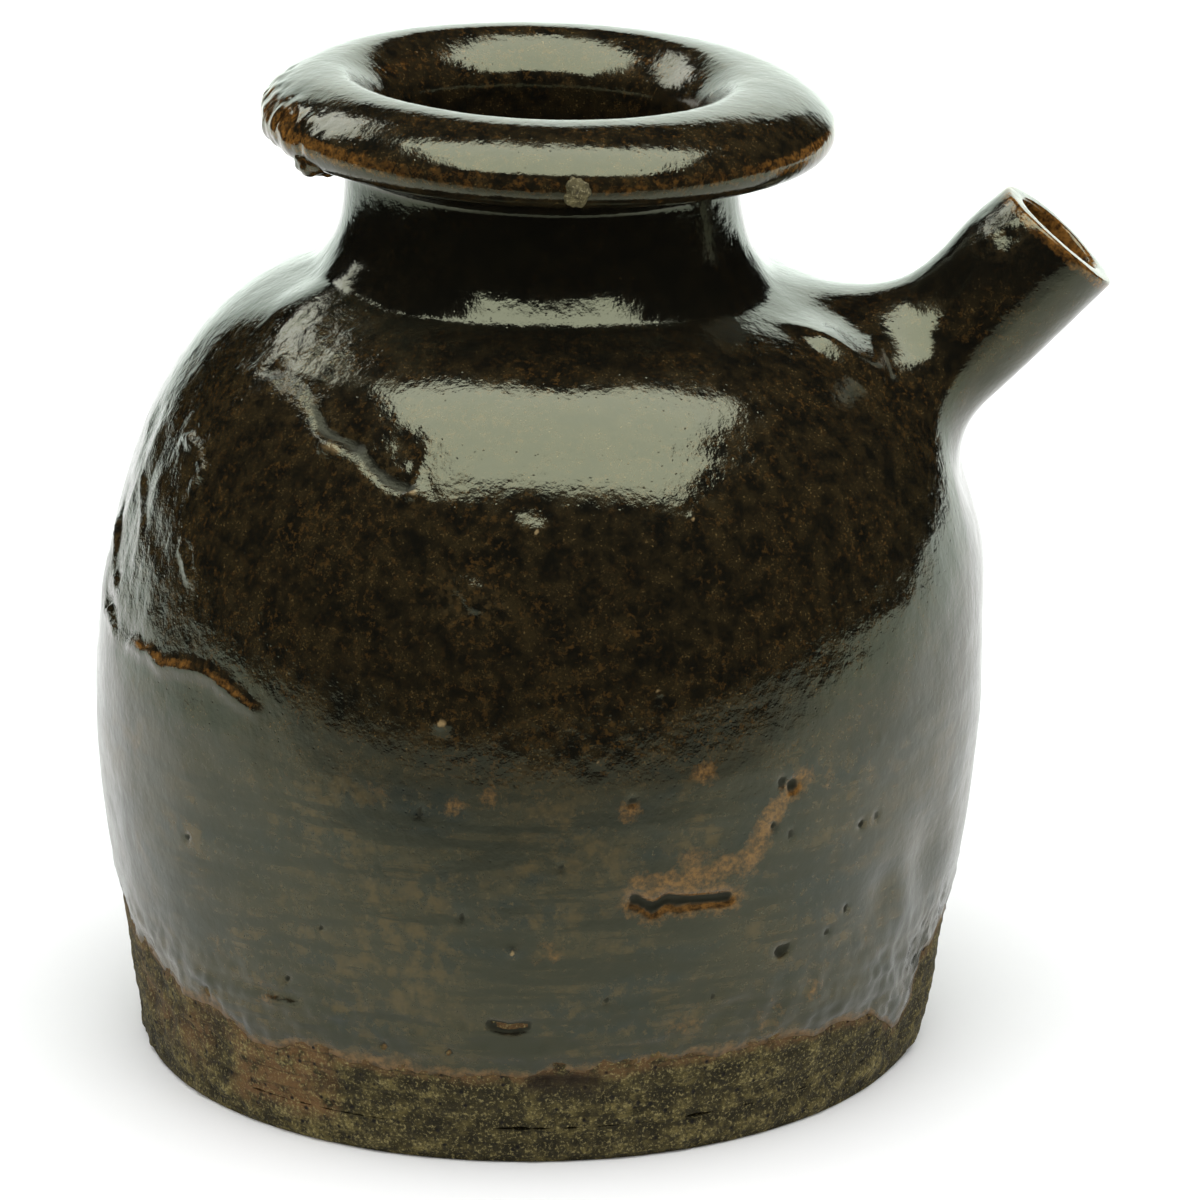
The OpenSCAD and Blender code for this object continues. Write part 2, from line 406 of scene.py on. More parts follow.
def crease_height(p):
    """Torn fold on the shoulder: a raised lip on its lower side, a hollow above."""
    off, d, share = crease_off(p)
    alive = 0.25 + 0.75 * plateau(share, 0.15, 0.4, 0.97, 1)
    alive *= 1 - 0.75 * hill(share - 0.6, 0.06)
    lip = 1.05 * hill(off + 0.9, 0.75) * (0.12 + ramp(noise(p, 3.0, 15), -0.4, 0.5))
    hollow = -1.0 * hill(off - 0.75, 0.65)
    step = -0.5 * ramp(off, -0.5, 1.5) * hill(np.maximum(off, 0), 6)
    fold = (lip + hollow + step) * hill(d, 7) * alive * (1 + 0.6 * noise(p, 2.4, 12))
    return fold + 1.0 * spot(p, *CREASE_BEAD, 0.9) + 0.6 * spot(p, -50, 94.5, 6)


def smear_height(p):
    """Step up towards the spout, where its clay was smeared onto the shoulder."""
    d, share, side = near_path(p, SMEAR)
    off = d * side
    return 1.6 * ramp(off, -1.8, 2.2) * hill(np.maximum(off, 0), 8) * plateau(share, 0, 0.3, 0.85, 1)


def patch_zone(p):
    """The blistered patch on the left of the shoulder, 0 to 1."""
    return spots(p, [(-57, 95.5, 7), (-48, 99.5, 7)])


def spout_patch(p):
    """Rough place on the spout's upper side near its mouth, 0 to 1."""
    return hill(norms(p - spout_ring(4.5, SPOUT_SKIN_R, np.radians([132]))), 3.4)


def lip_left(p):
    """The lumpy left end of the lip's edge, 0 to 1."""
    edge = ramp(radius_of(p), 31.5, 35.5) * (p[:, 2] > SEAT_Z)
    return plateau(azimuth_of(p), -118, -98, -66, -44) * edge


def scar_zone(p):
    """Where the left flank is torn and blistered, 0 to 1."""
    return plateau(azimuth_of(p), -104, -86, -66, -50) * plateau(p[:, 2], 55, 63, 84, 97)


def skin_height(p):
    """Height of the glaze's own surface over the true pot, in millimetres."""
    h = (0.22 * noise(p, 17, 1) + 0.1 * noise(p, 7.5, 2)) * (1 - 0.55 * ramp(p[:, 2], 82, 90))
    h += 0.035 * noise(p, 3.4, 3)
    h += 0.05 * noise(p * [0.12, 0.12, 1], 2.6, 4) * (1 - 0.65 * ramp(p[:, 2], 50, 62))
    h += crease_height(p) + smear_height(p)
    for k, (path, width) in enumerate(SCARS):
        d, share, side = near_path(p, path)
        off = d * side + 1.3 * noise(p, 2.6, 20 + k)
        ends = plateau(share, 0, 0.15, 0.85, 1) * (0.6 + 0.6 * noise(p, 5, 26))
        edge = 0.5 * hill(off + width, width * 0.8) - 0.5 * hill(off - 0.3, width)
        h += edge * ends * hill(d, 4)
    h += scar_zone(p) * (0.26 * noise(p, 4.6, 30) + 0.1 * np.abs(noise(p, 2.1, 31)) - 0.05)
    h += patch_zone(p) * (0.3 * noise(p, 2.6, 34) + 0.2 * np.abs(noise(p, 1.5, 35)))
    for azimuth, z, width in SPARKLES:
        h += spot(p, azimuth, z, width) * (0.6 * noise(p, 2.2, 38) + 0.25 * noise(p, 1.2, 39))
    h += spout_patch(p) * (0.4 * noise(p, 2.4, 40) + 0.2 * noise(p, 1.3, 41))
    h += lip_left(p) * (0.7 * np.abs(noise(p, 3.0, 36)) + 0.4 * noise(p, 1.5, 37))
    d, _, side = near_path(p, LEFT_RIM)
    h += 0.4 * hill(d * side + 0.5 * noise(p, 4, 32) + 0.6, 0.9) * hill(d, 3)
    h -= 0.9 * trace(p, LONG_PIT, 0.75 + 0.4 * noise(p, 1.6, 33))
    h -= 0.6 * trace(p, SLIT, 0.55)
    for azimuth, z, size in PITS:
        h -= 0.8 * size * spot(p, azimuth, z, size * 0.7)
    for azimuth, z, size in GRITS:
        h += 0.7 * size * spot(p, azimuth, z, size)
    for azimuth, z, width, height in SWELLS:
        h += height * spot(p, azimuth, z, width)
    return h


def clay_grain(p):
    """Sandy grain and turning lines of bare clay, about -1 to 1."""
    ring = noise(p * [0.06, 0.06, 1], 0.85, 51)
    return 0.4 * ring + 0.4 * noise(p, 1.7, 52) + 0.3 * noise(p, 0.95, 53)


def clay_height(p):
    """Height of the bare clay near the foot over the true pot, in millimetres."""
    h = 0.48 * clay_grain(p) + 0.3 * noise(p, 9, 54) * ramp(p[:, 2], 1, 6)
    h += 0.12 * np.abs(noise(p * [0.4, 0.4, 1], 2.4, 57))
    gouge = trace(p, GOUGE, 1.1 + 0.3 * noise(p, 2, 55))
    h -= 1.1 * gouge * (1 - 0.6 * spot(p, 4.5, 12.4, 1.4))
    h += 0.9 * spot(p, 74, 8, 6) - 0.5 * spot(p, 66, 17, 4)
    torn = np.maximum(spot(p, -66, 11, 7), 0.6 * spot(p, -80, 14, 6))
    return h + torn * (0.45 * noise(p, 3.1, 56) - 0.25)


def clay_marks(p):
    """Masks for the bare clay's material, by point."""
    azimuth = azimuth_of(p)
    wobble = 2.5 * noise(p, 4, 58)
    stain = plateau(azimuth + wobble, -47, -43, -31, -28)
    stain *= ramp(p[:, 2] + 0.5 * wobble, 2, 5)
    stains = spots(p, [(-64.4, 9, 3.2), (-56, 8, 3.2), (-53.6, 10.5, 3.2), (-70, 12, 3.2)], 0.9)
    up = glaze_edge(azimuth) - p[:, 2]
    stain = strongest(stain, stains, 0.8 * (1 - ramp(up, 0.2, 1.6 + 0.4 * wobble)))
    hole = trace(p, GOUGE, 1.5) * (p[:, 2] > 5)
    # high follows the relief of the grain; the material paints shade in its low places and highlight on
    # its crests
    return {"stain": stain, "high": 0.5 + 0.5 * clay_grain(p), "hole": hole}


# Height of the glaze's lower edge by azimuth
EDGE = [
    (-180, 11), (-150, 10), (-125, 12.5), (-100, 13), (-84, 16.5), (-74, 17.5), (-66, 17), (-60, 15.5),
    (-54, 14.4), (-48, 15), (-42, 12.4), (-30, 12.6), (-18, 12.6), (-8, 12.2), (0, 12.4), (9, 13),
    (22, 13.5), (36, 13.2), (48, 12.8), (56, 11.5), (62, 7.5), (66, 9), (70, 15), (76, 17),
    (84, 16), (95, 12), (115, 10), (140, 11.5), (165, 12), (180, 11),
]


def glaze_edge(azimuth):
    """Height of the glaze's lower edge at an azimuth, ragged."""
    ring = around(FOOT_R, 0, azimuth)
    height = np.interp(azimuth, *np.transpose(EDGE))
    return height + 0.55 * noise(ring, 5.5, 61) + 0.5 * noise(ring, 2.2, 62)


# ---- Meshes


def vertex_normals(points, quads):
    """Outward unit normals of a quad mesh's points."""
    a, b, c, d = (points[quads[:, k]] for k in range(4))
    face = np.cross(c - a, d - b)
    total = np.zeros_like(points)
    for k in range(4):
        np.add.at(total, quads[:, k], face)
    return total / np.maximum(norms(total), 1e-12)[:, None]


def strip(first, second, closed=True):
    """Quads between two rows of point numbers of the same length."""
    if closed:
        first, second = np.append(first, first[0]), np.append(second, second[0])
    return np.stack([first[:-1], first[1:], second[1:], second[:-1]], 1)


def grid(points, count, start=0):
    """Point numbers in rows of one length."""
    return start + np.arange(points).reshape(-1, count)


def tube(number):
    """Quads of a ring of rows, joined both along and across them."""
    return np.vstack([strip(a, b) for a, b in zip(number, np.roll(number, -1, axis=0))])


def fan(first, second, hub):
    """Triangles from each pair of neighbours in a ring to one middle point."""
    return np.stack([first, second, np.full(len(first), hub)], 1).tolist()


def new_object(name, points, faces, material):
    """A smooth mesh object from points in millimetres."""
    mesh = bpy.data.meshes.new(name)
    mesh.from_pydata((points * MM).tolist(), [], faces if isinstance(faces, list) else faces.tolist())
    mesh.polygons.foreach_set("use_smooth", np.ones(len(mesh.polygons), bool))
    mesh.materials.append(material)
    made = bpy.data.objects.new(name, mesh)
    bpy.context.scene.collection.objects.link(made)
    return made


def make_piece(name, node, points, faces, material, marks=None, sharp=()):
    """A mesh piece that rides on the pot and stands for one CAD node.

    Marks are masks by point for the material. Sharp lists rings of point numbers.
    """
    piece = new_object(name, points, faces, material)
    mesh = piece.data
    for key, values in (marks or {}).items():
        layer = mesh.attributes.new(key, "FLOAT", "POINT")
        layer.data.foreach_set("value", np.asarray(values, np.float32))
    if sharp:
        ends = np.zeros(len(mesh.edges) * 2, np.int32)
        mesh.edges.foreach_get("vertices", ends)
        ends = ends.reshape(-1, 2)
        flags = np.any([np.isin(ends, row).all(1) for row in sharp], axis=0)
        mesh.attributes.new("sharp_edge", "BOOLEAN", "EDGE").data.foreach_set("value", flags)
    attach(piece, "root")
    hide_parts(node)


def running_total(weight):
    """Area under evenly spaced weights, from the first up to each."""
    return np.concatenate([[0], np.cumsum((weight[1:] + weight[:-1]) / 2)])


def column_angles(count):
    """Azimuths of the columns, closer together where the pot faces the camera."""
    fine = np.linspace(-180, 180, 3601)
    total = running_total(0.55 + 0.45 * (1 - ramp(np.abs(fine), 95, 125)))
    return np.interp(np.arange(count) / count * total[-1], total, fine)


def row_places(line, start, end, spacing):
    """Distances along a line from start to end, spaced by a rule of height."""
    fine, step = np.linspace(start, end, 4001, retstep=True)
    total = running_total(1 / spacing(on_line(line, fine)[:, 1])) * step
    return np.interp(np.linspace(0, total[-1], round(total[-1]) + 1), total, fine)


# ---- Outer skin


def body_gap(p):
    """Signed distance of points from the true pot's glaze."""
    q = np.stack([radius_of(p), p[:, 2]], 1)
    a = SIDE[:-1]
    way = SIDE[1:] - a
    t = np.einsum("nmk,mk->nm", q[:, None] - a, way) / (way**2).sum(1)
    near = a + np.clip(t, 0, 1)[..., None] * way
    d = norms(q[:, None] - near)
    k = d.argmin(1)
    pick = np.arange(len(q))
    off = q - near[pick, k]
    side = np.sign(off[:, 0] * way[k, 1] - off[:, 1] * way[k, 0])
    return d[pick, k] * np.where(side == 0, 1, side)


def from_spout(p):
    """Distance of points out past the spout's mouth, and their way off its axis."""
    off = p - SPOUT_MOUTH
    along = off @ SPOUT_AXIS
    return along, off - along[:, None] * SPOUT_AXIS


def tube_gap(p):
    """Signed distance of points from the spout's outer glaze."""
    return norms(from_spout(p)[1]) - SPOUT_SKIN_R


def melted_gap(p):
    """Distance from the body and spout run together with a soft fillet."""
    a, b = body_gap(p), tube_gap(p)
    over = ramp((p - SPOUT_MOUTH) @ SPOUT_UP, -10, 3)
    over *= 1 - SPOUT_PINCH * ramp(-p[:, 1], 1, 11)
    blend = SPOUT_BLEND[0] * (1 - over) + SPOUT_BLEND[1] * over
    h = np.clip(0.5 + 0.5 * (b - a) / blend, 0, 1)
    return b * (1 - h) + a * h - blend * h * (1 - h)


def onto_melted(p):
    """Move points onto the surface where body and spout run together."""
    step = 0.04
    for _ in range(5):
        here = melted_gap(p)
        slope = np.stack([melted_gap(p + step * axis) - here for axis in np.eye(3)], 1) / step
        size = np.maximum((slope**2).sum(1), 0.2)
        p = p - (here / size)[:, None] * slope
    return p


def spout_ring(t, r, turn):
    """A ring of points round the spout, t inwards from its mouth."""
    spokes = np.cos(turn)[:, None] * SPOUT_SIDE + np.sin(turn)[:, None] * SPOUT_UP
    return SPOUT_MOUTH - t * SPOUT_AXIS + r * spokes


def spout_rows(loop):
    """Rings of points from a hole in the body's skin, up the spout, into its bore."""
    off = loop - SPOUT_MOUTH
    turn = np.unwrap(np.arctan2(off @ SPOUT_UP, off @ SPOUT_SIDE))
    even = turn.mean() + 2 * np.pi * (np.arange(len(loop)) + 0.5) / len(loop) - np.pi
    top = spout_ring(SPOUT_STRAIGHT, SPOUT_SKIN_R, turn * 0.5 + even * 0.5)
    rows = [onto_melted(loop * (1 - s) + top * s) for s in np.linspace(0, 1, 24)[1:-1]]
    for t in np.linspace(SPOUT_STRAIGHT, MOUTH_ROUND, 18):
        blend = 0.5 + 0.5 * (SPOUT_STRAIGHT - t) / SPOUT_STRAIGHT
        rows.append(spout_ring(t, SPOUT_SKIN_R, turn * (1 - blend) + even * blend))
    mouth = [
        *arc([SPOUT_SKIN_R - MOUTH_ROUND, MOUTH_ROUND], MOUTH_ROUND, -15, -90, 5),
        (0.5 * (SPOUT_SKIN_R + BORE_R), -0.04),
        *arc([BORE_R + MOUTH_ROUND, MOUTH_ROUND], MOUTH_ROUND, 270, 180, 5),
        *((BORE_R, t) for t in (1.6, 2.4, 3.4, 4.6, 6, 8)),
    ]
    return rows + [spout_ring(t, r, even) for r, t in mouth]


def skin_spacing(z):
    """Distance between the outer skin's rows, by height."""
    return np.interp(z, [8, 100, 116, 120], [0.66, 0.66, 0.55, 0.42])


def outer_points():
    """Points and quads of the outer glaze's surface on the true pot."""
    top = lengths(GLAZE)[-1]
    bottom = np.interp(9.0, SIDE[:, 1], lengths(SIDE))
    rows = row_places(GLAZE, bottom, top, skin_spacing)
    angles = column_angles(SKIN_COLUMNS)
    share = (rows - bottom) / (top - bottom)
    edge = np.interp(glaze_edge(angles), SIDE[:, 1], lengths(SIDE))
    s = rows[:, None] + (edge - bottom)[None, :] * (1 - ramp(share, 0, 0.22))[:, None]
    outline = on_line(GLAZE, s)
    points = around(outline[..., 0], outline[..., 1], angles[None, :]).reshape(-1, 3)
    number = grid(len(points), SKIN_COLUMNS)

    # the hole where the spout grows out
    pierce = on_line(GLAZE, rows)
    radius = np.abs((pierce[:, 0] - SPOUT_MOUTH[0]) - (pierce[:, 1] - SPOUT_MOUTH[2]))
    radius = np.where(pierce[:, 1] < NECK_ROOT_Z, radius, 99)
    mid = radius.argmin()
    low, high = np.searchsorted(rows, rows[mid] + [-HOLE_HALF, HOLE_HALF])
    wide = math.degrees(HOLE_HALF / pierce[mid, 0])
    left, right = np.searchsorted(angles, [90 - wide, 90 + wide])

    close = (tube_gap(points) < SPOUT_BLEND[1]) & (points[:, 0] > 20) & (points[:, 2] < SEAT_Z)
    points[close] = onto_melted(points[close])

    quads = [strip(a, b) for a, b in zip(number[:-1], number[1:])]
    for k in range(low, high):
        quads[k] = np.delete(quads[k], np.arange(left, right), axis=0)
    sides = [number[low, left:right], number[low:high, right]]
    loop = np.concatenate([*sides, number[high, right:left:-1], number[high:low:-1, left]])
    rings = np.vstack(spout_rows(points[loop]))
    tubes = grid(len(rings), len(loop), len(points))
    quads += [strip(a, b) for a, b in zip([loop, *tubes], tubes)]
    return np.vstack([points, rings]), np.vstack(quads), number[0], number[-1], tubes[-1]


def lip_edge_band(p):
    """Where the lip turns over its edge, 0 to 1, stronger towards the sides."""
    out = radius_of(p) - (LIP_R - LIP_ROUNDS[0])
    turn = np.degrees(np.arctan2(p[:, 2] - LIP_EDGE_Z, out))
    band = plateau(turn, -32, -12, 26, 44) * (out > 0)
    return band * (0.62 + 0.26 * ramp(np.abs(azimuth_of(p) - 5), 25, 60))


def outer_marks(p, true_edge):
    """Masks for the outer glaze's material, by point."""
    funnel = np.hypot(radius_of(p) - (THROAT_R + 2), p[:, 2] - (CREST_Z - 2.2))
    along, away = from_spout(p)
    out = norms(away)
    end = np.hypot(along + 0.5, out - (SPOUT_SKIN_R - 0.5))
    bore = ramp(-along, -1, 0.4) * (out < SPOUT_R - 1.1) * (along > -15)
    thin = strongest(lip_edge_band(p), 0.6 * hill(funnel, 3.6), hill(end, 1.6), bore)
    wide = 3.2 + 1.8 * noise(p, 9, 71) + 1.0 * noise(p, 3, 73)
    fold, crease, share = crease_off(p)
    torn = strongest(
        0.9 * hill(crease, 2.2),
        *(0.6 * trace(p, path, width * 1.5) for path, width in SCARS),
        0.24 * scar_zone(p),
        0.45 * patch_zone(p),
        spots(p, SPARKLES, 0.5),
        0.6 * spout_patch(p),
    )
    rust = strongest(
        0.9 * trace(p, STREAK, 2.6),
        0.9 * trace(p, LONG_PIT, 3.4),
        (0.75 + 0.3 * noise(p, 4, 76)) * trace(p, LEFT_RIM, 0.9),
        spots(p, RUSTS, 0.8),
        spots(p, SMUDGES, 0.64),
    )
    # Pits and the slit are painted near black; in the fold's hollow this dark colour is painted shade
    pits_and_fold_shade = strongest(
        trace(p, LONG_PIT, 0.65 + 0.4 * noise(p, 1.6, 33)),
        hill(fold - 0.7, 0.65) * hill(crease, 3) * ramp(share, 0.12, 0.3),
        trace(p, SLIT, 0.7),
        spots(p, PITS, spread=0.8),
    )
    # Painted highlight along the crest of the fold's raised lip, carried in the grit mark
    pale = hill(fold + 0.9, 0.7) * hill(crease, 3) * ramp(share, 0.2, 0.35)
    pale *= 0.42 + 0.22 * noise(p, 1.4, 74)
    low = p[:, 2] + 2.5 * noise(p, 12, 72) + 1.2 * noise(p, 4, 75)
    return {
        "thin": strongest(thin, 0.75 * lip_left(p)),
        "fringe": (1 - ramp(p[:, 2] - true_edge, 0.0, wide)) * (p[:, 2] < 40),
        "torn": torn,
        "rust": rust,
        "pits_and_fold_shade": pits_and_fold_shade,
        # grit holds the real specks of grit and the bead, and the painted highlight on the fold's lip
        "grit": strongest(spots(p, GRITS, spread=0.9), 0.8 * spot(p, *CREASE_BEAD, 0.7), pale),
        "low": 1 - ramp(low, 46, 57),
        "calm": plateau(p[:, 2], 98, 104, 116, 119),
    }


def outer_glaze(material):
    """Glaze over the body, lip and spout, as one closed skin with real thickness."""
    true, quads, foot, throat, bore = outer_points()
    edge = glaze_edge(azimuth_of(true))
    placed = slump(true)
    normals = vertex_normals(placed, quads)
    in_bore = (tube_gap(true) < -1.2) & (from_spout(true)[0] > -14)
    height = np.where(in_bore, 0.0, skin_height(true)) * (1 - 0.5 * ramp(true[:, 2], 108, 116))
    # the glaze thins out at its lower edge
    full = np.where(true[:, 2] < 40, 0.12 + 0.88 * ramp(true[:, 2] - edge, -0.5, 4.5), 1)
    clay = np.where(true[:, 2] < 30, clay_height(true) * (1 - ramp(true[:, 2], 16, 28)), 0)
    under = placed + normals * (np.minimum(height, 0) + clay - 0.02 - GLAZE_T)[:, None]
    skin = placed + normals * (height + clay + GLAZE_T * (full - 1))[:, None]
    count = len(true)
    rims = [strip(foot + count, foot), strip(throat, throat + count), strip(bore, bore + count)]
    faces = np.vstack([quads, quads[:, ::-1] + count, *rims])
    points = np.vstack([skin, under])
    marks = {key: np.concatenate([m, m]) for key, m in outer_marks(true, edge).items()}
    make_piece("glaze_coat", "outer_glaze", points, faces, material, marks)


# ---- Clay parts


def turned(outline, angles):
    """Points, quads and point numbers of a ring turned from its (radius, height) outline."""
    points = around(outline[:, :1], outline[:, 1:], angles[None, :]).reshape(-1, 3)
    number = grid(len(points), len(angles))
    return points, tube(number), number


def turned_solid(outline, angles, low, high):
    """A turned piece whose ends close on the axis: points, quads, end triangles, numbers."""
    points, quads, number = turned(outline, angles)
    first, last = number[0], number[-1]
    quads = quads[~(np.isin(quads, first).any(1) & np.isin(quads, last).any(1))]
    hub = len(points)
    points = np.vstack([points, [[0, 0, low], [0, 0, high]]])
    caps = fan(np.roll(first, -1), first, hub) + fan(last, np.roll(last, -1), hub + 1)
    return points, quads, caps, number


def clay_side(low, high, spacing, inset=0.0):
    """The clay's outer side between two heights, as (radius, height) rows."""
    side = grown(CLAY, -inset)[: below(CLAY, SEAT_Z + 2)]
    rows = np.linspace(low, high, max(2, round((high - low) / spacing) + 1))
    return np.stack([np.interp(rows, side[:, 1], side[:, 0]), rows], 1)


def floor_corner():
    """The round from the floor up to the inside of the wall."""
    middle = [FOOT_R - WALL_T - FLOOR_ROUND, SLAB_T + FLOOR_ROUND]
    return arc(middle, FLOOR_ROUND, -90, -10, 8)


def base_slab(material):
    """Flat bottom, with its bare edge and the drag marks of its underside."""
    bevel = [[FOOT_R - FOOT_BEVEL, 0], [FOOT_R - 0.35, 0.15]]
    side = joined(bevel, clay_side(FOOT_BEVEL * 0.6, SLAB_T, 0.45))
    top = [[r, SLAB_T] for r in (48, 40, 30, 20, 10, 4, 1.2)]
    bottom = [[r, 0] for r in (1.2, *range(4, 45, 4), 47, 49, 50.2)]
    outline = np.vstack([bottom, side, top])
    true, quads, caps, number = turned_solid(outline, column_angles(CLAY_COLUMNS), 0.15, SLAB_T)
    points = slump(true)
    on_side = ramp(true[:, 2], 0.05, 0.6) * (radius_of(true) > FOOT_R - 1)
    points += vertex_normals(points, quads) * (clay_height(true) * on_side)[:, None]
    drag = 0.16 * (1 + noise(true * [0.25, 1, 1], 2.2, 81)) * ramp(FOOT_R - radius_of(true), 1, 6)
    points[:, 2] = np.maximum(points[:, 2] + drag * (true[:, 2] < 0.01), 0)
    faces = quads.tolist() + caps
    marks = clay_marks(true)
    rim = number[len(bottom) + len(side) - 1]
    make_piece("foot_slab", "base_slab", points, faces, material, marks, [rim])


def lower_wall(material):
    """Bare foot wall that goes on up behind the glaze to the seam."""
    shown = clay_side(SLAB_T, 24, 0.5)
    hidden = clay_side(27, SEAM_Z, 3.0)
    inner = grown(CLAY, -WALL_T)[:80]
    z = np.array([SEAM_Z, 50, 40, 30, 22, 14])
    inside = np.stack([np.interp(z, inner[:, 1], inner[:, 0]), z], 1)
    outline = np.vstack([shown, hidden, inside, floor_corner()[-2::-1]])
    true, quads, number = turned(outline, column_angles(CLAY_COLUMNS))
    points = slump(true)
    outside = radius_of(true) > FOOT_R - 1
    lift = clay_height(true) * (1 - ramp(true[:, 2], 16, 28)) - 1.8 * ramp(true[:, 2], 19, 30)
    points += vertex_normals(points, quads) * (lift * outside)[:, None]
    marks = clay_marks(true)
    rims = [number[0], number[-1]]
    make_piece("foot_wall", "lower_wall", points, quads, material, marks, rims)


def hidden_ring(name, node, low, high, material):
    """Clay of the dome or neck between two heights, buried under the glaze."""
    side = clay_side(low, high, 1.5, inset=1.8)
    inner = grown(CLAY, -WALL_T)[: below(CLAY, NECK_ROOT_Z)]
    rows = side[::-1, 1]
    inside = np.interp(rows, inner[:, 1], inner[:, 0])
    inside = np.where(rows > 103, THROAT_R + 0.02, np.maximum(inside, THROAT_R + 0.02))
    outline = np.vstack([side, np.stack([inside, rows], 1)])
    points, quads, _ = turned(outline, even_turn(CORE_COLUMNS, -180))
    make_piece(name, node, slump(points), quads, material)


def lip_clay(material):
    """Clay core of the rolled lip."""
    core = grown(CLAY, -1.0)
    outline = np.vstack([core[below(core, SEAT_Z) :: 3], [[THROAT_R + 0.4, SEAT_Z]]])
    points, quads, _ = turned(outline, even_turn(CORE_COLUMNS, -180))
    make_piece("lip_core", "lip_ring", slump(points), quads, material)


def spout_clay(name, node, rings, material):
    """A sleeve of clay from rings of points round the spout's axis."""
    points = np.vstack(rings)
    make_piece(name, node, slump(points), tube(grid(len(points), len(rings[0]))), material)


def spout_tube(material):
    """Clay core of the spout's tube."""
    turn = np.radians(even_turn(64))
    bore = BORE_R + GLAZE_T
    rows = [(20, bore), (20, 8.6), (12, 8.6), (1.2, 8.5), (0.8, 8.2), (0.8, bore)]
    spout_clay("spout_core", "spout_tube", [spout_ring(t, r, turn) for t, r in rows], material)


def spout_luting(material):
    """Soft clay pressed round the root of the tube, just under the melted glaze."""
    turn = np.radians(even_turn(64))
    inner = 8.62
    rings = [spout_ring(20, inner, turn)]
    for t in (20, 18.5, 17, 15.5, 14, 13):
        along, away = from_spout(onto_melted(spout_ring(t, 12.5, turn)))
        r = norms(away)[:, None]
        spoke = away / r * np.maximum(r - 1.5, inner + 0.1)
        rings.append(SPOUT_MOUTH + along[:, None] * SPOUT_AXIS + spoke)
    rings.append(spout_ring(12.6, inner, turn))
    spout_clay("spout_joint", "spout_luting", rings, material)


def inner_glaze(material):
    """Lining of the throat, dome, wall and floor, and the sleeve in the spout."""
    wall = grown(CLAY[: below(CLAY, NECK_ROOT_Z)], -WALL_T)
    wall = wall[(wall[:, 1] > 14) & (wall[:, 0] > THROAT_R)][::4]
    floor = [[r, SLAB_T] for r in (1.5, 8, 16, 24, 32)]
    throat = [[THROAT_R, z] for z in np.arange(103, LINING_TOP_Z + 0.1, 1.0)]
    bed = joined(floor, floor_corner(), wall, throat)
    face = grown(bed, -GLAZE_T)
    face[:, 0] = np.maximum(face[:, 0], 1.5)
    outline = np.vstack([bed, face[::-1]])
    points, quads, caps, _ = turned_solid(outline, even_turn(180, -180), SLAB_T, SLAB_T + GLAZE_T)
    faces = quads.tolist() + caps
    bumpy = 0.12 * noise(points, 9, 91) + 0.05 * noise(points * [0.1, 0.1, 1], 3, 92)
    points[:, :2] *= (1 + bumpy * (points[:, 2] < 112) / np.maximum(radius_of(points), 5))[:, None]
    turn = np.radians(even_turn(72))
    down = (6, 10, 14, 18, 22, 26)
    rings = [(t, BORE_R) for t in down] + [(t, BORE_R + GLAZE_T) for t in down[::-1]]
    sleeve = np.vstack([spout_ring(t, r, turn) for t, r in rings])
    faces += tube(grid(len(sleeve), len(turn), len(points))).tolist()
    points = slump(np.vstack([points, sleeve]))
    make_piece("lining", "inner_glaze", points, faces, material)


def blob(name, node, centre, radii, roughness, material, seed, thin=0.0):
    """A lump with a broken surface, thin where its glaze breaks to amber."""
    turn, tilt = np.radians(even_turn(48)), np.radians(np.linspace(-90, 90, 27)[1:-1, None])
    ball = [np.cos(turn) * np.cos(tilt), np.sin(turn) * np.cos(tilt), np.sin(tilt) + 0 * turn]
    unit = np.vstack([[[0, 0, -1]], np.stack(ball, -1).reshape(-1, 3), [[0, 0, 1]]])
    # lumps of three sizes, each half the size and strength of the last
    lumps = sum(noise(unit * 3, 2.2 / 2**k, seed + 31 * k) / 2**k for k in range(3)) / 1.5
    points = centre + unit * radii * (1 + roughness * lumps)[:, None]
    number = grid(len(points) - 2, len(turn), 1)
    low, high = number[0], number[-1]
    faces = tube(number)[: -len(turn)].tolist()
    faces += fan(np.roll(low, -1), low, 0) + fan(high, np.roll(high, -1), len(points) - 1)
    make_piece(name, node, slump(points), faces, material, {"thin": np.full(len(points), thin)})


# ---- Materials


